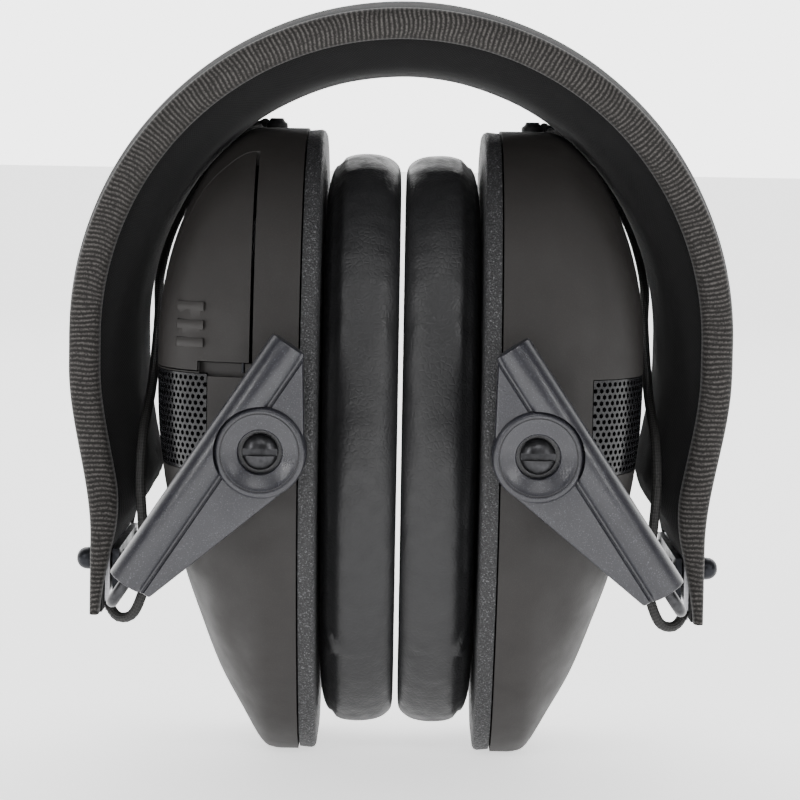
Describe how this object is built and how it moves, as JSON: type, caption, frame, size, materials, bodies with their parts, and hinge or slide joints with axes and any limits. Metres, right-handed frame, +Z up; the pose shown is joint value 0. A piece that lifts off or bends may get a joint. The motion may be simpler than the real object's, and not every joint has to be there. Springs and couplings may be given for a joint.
{
  "type": "earmuff hearing protector",
  "caption": "Folding over-the-head electronic earmuff: oval cups on sliding wire arms, tucked inside a padded fabric headband, with a battery door and a volume wheel",
  "frame": {"origin": "bottom centre: midway between the two cups, at the level of their flat feet", "axes": "+Z up to the crown of the headband, +X to the right, towards the right-hand cup as the picture shows it, and the front is -Y"},
  "size_m": [0.1194, 0.1034, 0.1347],
  "materials": {
    "shell": "matt moulded, fine spark texture",
    "trim": "fine speckled texture",
    "leatherette": "soft satin leatherette, fine grain",
    "nylon": "satin filled nylon",
    "fabric": "smooth knit, matt",
    "tape": "ribbed grosgrain",
    "wire": "dark satin",
    "steel": "bright rolled",
    "clip": "blackened",
    "cable": "matt",
    "mesh": "perforated, satin",
    "foam": "open cell foam",
    "battery": "printed wrap, satin",
    "board": "solder mask",
    "knob": "knurled, matt"
  },
  "bodies": {
    "headband": {"headband_cover": "fabric", "headband_pad": "fabric", "headband_binding_front": "tape", "headband_binding_rear": "tape", "spring_band": "steel", "hinge_clip_left": "clip", "hinge_clip_right": "clip", "hinge_rivet_left_front": "clip", "hinge_rivet_left_rear": "clip", "hinge_rivet_right_front": "clip", "hinge_rivet_right_rear": "clip", "link_cable_left": "cable", "link_cable_right": "cable"},
    "left_arm": {"wire_yoke_left": "wire"},
    "left_slider": {"slider_block_left_front": "nylon", "slider_block_left_rear": "nylon"},
    "left_cup": {"cup_shell_left": "shell", "trim_ring_left": "trim", "cushion_left": "leatherette", "acoustic_foam_left": "foam", "speaker_left": "mesh", "mic_grille_left": "mesh", "microphone_left": "mesh", "cable_gland_left": "knob", "pivot_screw_left_front": "wire", "pivot_screw_left_rear": "wire", "door_hinge_pin": "steel", "battery_1": "battery", "battery_2": "battery", "battery_contacts": "steel"},
    "right_arm": {"wire_yoke_right": "wire"},
    "right_slider": {"slider_block_right_front": "nylon", "slider_block_right_rear": "nylon"},
    "right_cup": {"cup_shell_right": "shell", "trim_ring_right": "trim", "cushion_right": "leatherette", "acoustic_foam_right": "foam", "speaker_right": "mesh", "mic_grille_right": "mesh", "microphone_right": "mesh", "cable_gland_right": "knob", "pivot_screw_right_front": "wire", "pivot_screw_right_rear": "wire", "circuit_board": "board", "potentiometer": "steel", "audio_jack": "knob"},
    "battery_door": {"battery_door": "shell"},
    "volume_knob": {"volume_knob": "knob"}
  },
  "joints": [
    {"name": "left_fold", "type": "hinge", "parent": "headband", "child": "left_arm", "pos_m": [-0.0479, 0, 0.0318], "axis": [0, 1, 0], "range_deg": [0, 146], "deforming": ["link_cable_left", "cushion_left"]},
    {"name": "left_extend", "type": "slide", "parent": "left_arm", "child": "left_slider", "axis": [0.5534, 0, 0.8329], "range_m": [0, 0.03]},
    {"name": "left_cup_pivot", "type": "hinge", "parent": "left_slider", "child": "left_cup", "pos_m": [-0.02313, 0, 0.05797], "axis": [0, 1, 0], "range_deg": [-146, 0]},
    {"name": "right_fold", "type": "hinge", "parent": "headband", "child": "right_arm", "pos_m": [0.0479, 0, 0.0318], "axis": [0, -1, 0], "range_deg": [0, 146], "deforming": ["link_cable_right", "cushion_right"]},
    {"name": "right_extend", "type": "slide", "parent": "right_arm", "child": "right_slider", "axis": [-0.5534, 0, 0.8329], "range_m": [0, 0.03]},
    {"name": "right_cup_pivot", "type": "hinge", "parent": "right_slider", "child": "right_cup", "pos_m": [0.02313, 0, 0.05797], "axis": [0, -1, 0], "range_deg": [-146, 0]},
    {"name": "door_swing", "type": "hinge", "parent": "left_cup", "child": "battery_door", "pos_m": [-0.0266, -0.0391, 0.072], "axis": [0, 0, 1], "range_deg": [0, 55]},
    {"name": "volume_turn", "type": "hinge", "parent": "right_cup", "child": "volume_knob", "pos_m": [0.027, 0.0273, 0.032], "axis": [1, 0, 0], "range_deg": [0, 270]}
  ],
  "couplings": [
    {"joint": "left_extend", "follows": "left_fold", "m_per_rad": 0.01177},
    {"joint": "left_cup_pivot", "follows": "left_fold", "ratio": -1},
    {"joint": "right_extend", "follows": "right_fold", "m_per_rad": 0.01177},
    {"joint": "right_cup_pivot", "follows": "right_fold", "ratio": -1}
  ]
}
